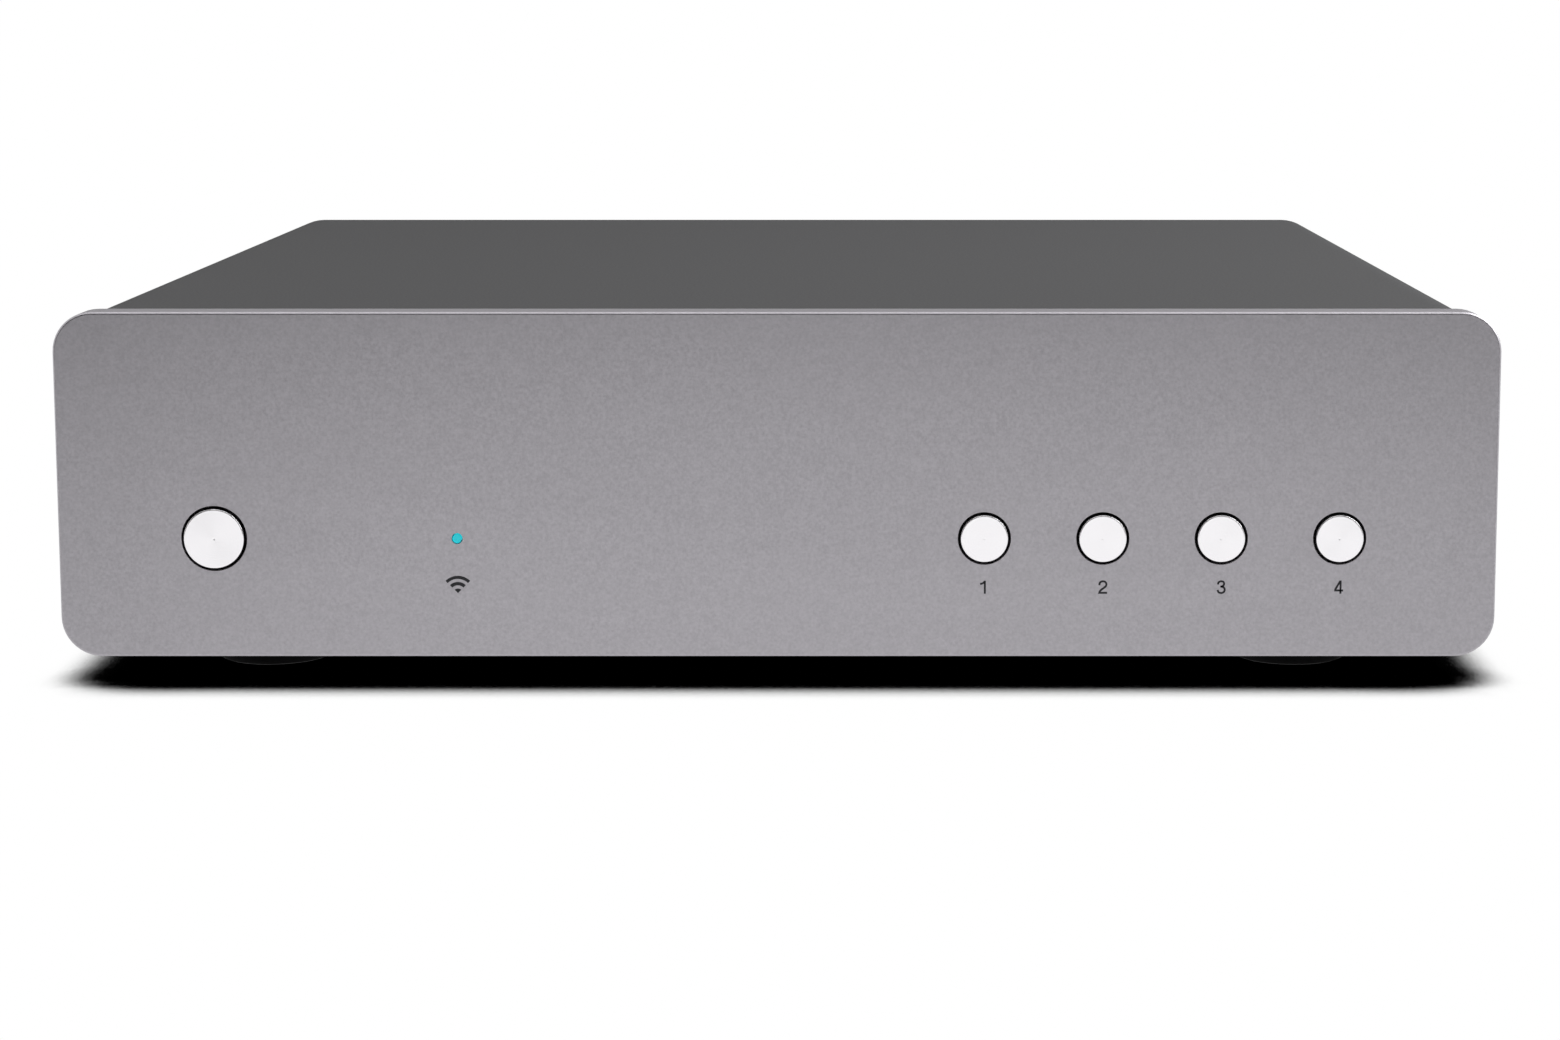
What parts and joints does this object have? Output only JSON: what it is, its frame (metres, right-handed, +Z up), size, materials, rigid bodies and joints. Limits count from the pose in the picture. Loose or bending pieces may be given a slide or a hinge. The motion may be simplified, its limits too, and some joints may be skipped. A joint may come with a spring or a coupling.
{
  "type": "network music streamer",
  "caption": "Compact half-width network music player with a thick front panel, round push buttons, a status light and audio, network, antenna and mains sockets on its back.",
  "frame": {"origin": "under the middle of the case, on the surface that it stands on", "axes": "+X to the right as seen from the front, +Y from the front panel towards the back, +Z up"},
  "size_m": [0.215, 0.191, 0.057],
  "materials": {
    "anodised_panel": "bead-blasted and grey anodised",
    "turned_cap": "turned and clear anodised",
    "black_moulding": "moulded",
    "switch_stem": "moulded",
    "switch_body": "moulded",
    "clear_acrylic": "clear acrylic",
    "led_resin": "tinted resin",
    "circuit_board": "solder mask",
    "connector_nylon": "moulded",
    "ribbon_film": "laminated film",
    "painted_cover": "fine powder coat",
    "zinc_tray": "zinc plated",
    "painted_rear": "satin paint",
    "foot_rubber": "moulded",
    "zinc_screw": "zinc plated",
    "black_screw": "black oxide",
    "nickel_brass": "nickel plated",
    "heatsink_black": "black anodised",
    "tinned_shield": "tin plated",
    "plated_shell": "nickel plated",
    "white_contact_carrier": "moulded",
    "phono_moulding": "moulded",
    "phono_plating": "nickel plated",
    "optical_moulding": "moulded",
    "gold_brass": "gold plated",
    "cable_jacket": "extruded",
    "inlet_moulding": "moulded",
    "nickel_pin": "nickel plated",
    "ferrite": "ferrite frame round a taped winding",
    "sleeved_can": "shrunk sleeve",
    "insulation_film": "film"
  },
  "bodies": {
    "case": {"front_panel": "anodised_panel", "power_button_guide": "black_moulding", "preset_button_guide": "black_moulding", "tact_switch_bodies": "switch_body", "status_light_pipe": "clear_acrylic", "status_led": "led_resin", "front_board": "circuit_board", "main_board": "circuit_board", "network_module": "circuit_board", "psu_board": "circuit_board", "ribbon_sockets": "connector_nylon", "ribbon_cable": "ribbon_film", "wrap_cover": "painted_cover", "base_tray": "zinc_tray", "rear_panel": "painted_rear", "foot_front_left": "foot_rubber", "foot_front_right": "foot_rubber", "foot_rear_left": "foot_rubber", "foot_rear_right": "foot_rubber", "foot_screws": "zinc_screw", "inner_screws": "zinc_screw", "case_screws": "black_screw", "board_standoffs": "nickel_brass", "antenna_nuts": "nickel_brass", "processor_heatsink": "heatsink_black", "network_shield": "tinned_shield", "ethernet_jack": "plated_shell", "usb_jack": "plated_shell", "usb_tongue": "white_contact_carrier", "line_out_body": "phono_moulding", "coax_out_body": "phono_moulding", "line_out_left_shell": "phono_plating", "line_out_right_shell": "phono_plating", "coax_out_shell": "phono_plating", "optical_jack": "optical_moulding", "antenna_socket_left": "gold_brass", "antenna_socket_right": "gold_brass", "antenna_pigtails": "cable_jacket", "internal_leads": "cable_jacket", "mains_inlet": "inlet_moulding", "inlet_pins": "nickel_pin", "psu_transformer": "ferrite", "psu_capacitors": "sleeved_can", "psu_insulation_sheet": "insulation_film"},
    "power_button": {"power_button_cap": "turned_cap", "power_button_plunger": "black_moulding", "power_switch_stem": "switch_stem"},
    "preset_button_1": {"preset_button_1_cap": "turned_cap", "preset_button_1_plunger": "black_moulding", "preset_switch_1_stem": "switch_stem"},
    "preset_button_2": {"preset_button_2_cap": "turned_cap", "preset_button_2_plunger": "black_moulding", "preset_switch_2_stem": "switch_stem"},
    "preset_button_3": {"preset_button_3_cap": "turned_cap", "preset_button_3_plunger": "black_moulding", "preset_switch_3_stem": "switch_stem"},
    "preset_button_4": {"preset_button_4_cap": "turned_cap", "preset_button_4_plunger": "black_moulding", "preset_switch_4_stem": "switch_stem"},
    "optical_shutter_flap": {"optical_shutter": "optical_moulding"}
  },
  "joints": [
    {"name": "power_press", "type": "slide", "parent": "case", "child": "power_button", "axis": [0, 1, 0], "range_m": [0, 0.0005], "stiffness_N_per_m": 1500, "springref_m": -0.0005},
    {"name": "preset_1_press", "type": "slide", "parent": "case", "child": "preset_button_1", "axis": [0, 1, 0], "range_m": [0, 0.0005], "stiffness_N_per_m": 1500, "springref_m": -0.0005},
    {"name": "preset_2_press", "type": "slide", "parent": "case", "child": "preset_button_2", "axis": [0, 1, 0], "range_m": [0, 0.0005], "stiffness_N_per_m": 1500, "springref_m": -0.0005},
    {"name": "preset_3_press", "type": "slide", "parent": "case", "child": "preset_button_3", "axis": [0, 1, 0], "range_m": [0, 0.0005], "stiffness_N_per_m": 1500, "springref_m": -0.0005},
    {"name": "preset_4_press", "type": "slide", "parent": "case", "child": "preset_button_4", "axis": [0, 1, 0], "range_m": [0, 0.0005], "stiffness_N_per_m": 1500, "springref_m": -0.0005},
    {"name": "optical_shutter_swing", "type": "hinge", "parent": "case", "child": "optical_shutter_flap", "pos_m": [0.02687, 0.0866, 0.0232], "axis": [-1, 0, 0], "range_deg": [0, 80], "stiffness_Nm_per_rad": 0.0001, "springref_deg": -17.19}
  ]
}
